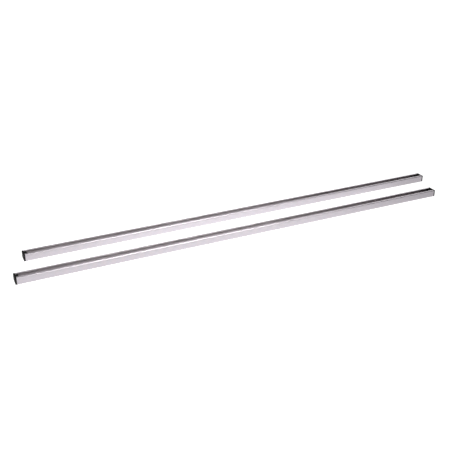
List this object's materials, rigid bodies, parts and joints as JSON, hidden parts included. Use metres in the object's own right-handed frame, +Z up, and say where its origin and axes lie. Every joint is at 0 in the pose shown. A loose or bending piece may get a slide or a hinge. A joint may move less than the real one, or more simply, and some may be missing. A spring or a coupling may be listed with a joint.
{
  "type": "pair of roof tent mounting rails",
  "caption": "Straight aluminium channel rails with a slot along the top and black plastic end caps, for fixing a roof tent to roof bars.",
  "frame": {"origin": "bottom centre of the pair's bounding box, as both rails lie on a flat surface with their slots upward", "axes": "+X along the rails, +Y from the front rail to the rear rail, +Z up, out of the slots"},
  "size_m": [1.4464, 0.1526, 0.0213],
  "materials": {
    "anodised_aluminium": "satin silver anodised extrusion",
    "black_plastic": "moulded, fine grain"
  },
  "bodies": {
    "root": {"front_rail": "anodised_aluminium", "rear_rail": "anodised_aluminium", "front_left_end_cap": "black_plastic", "front_right_end_cap": "black_plastic", "rear_left_end_cap": "black_plastic", "rear_right_end_cap": "black_plastic"}
  },
  "joints": []
}
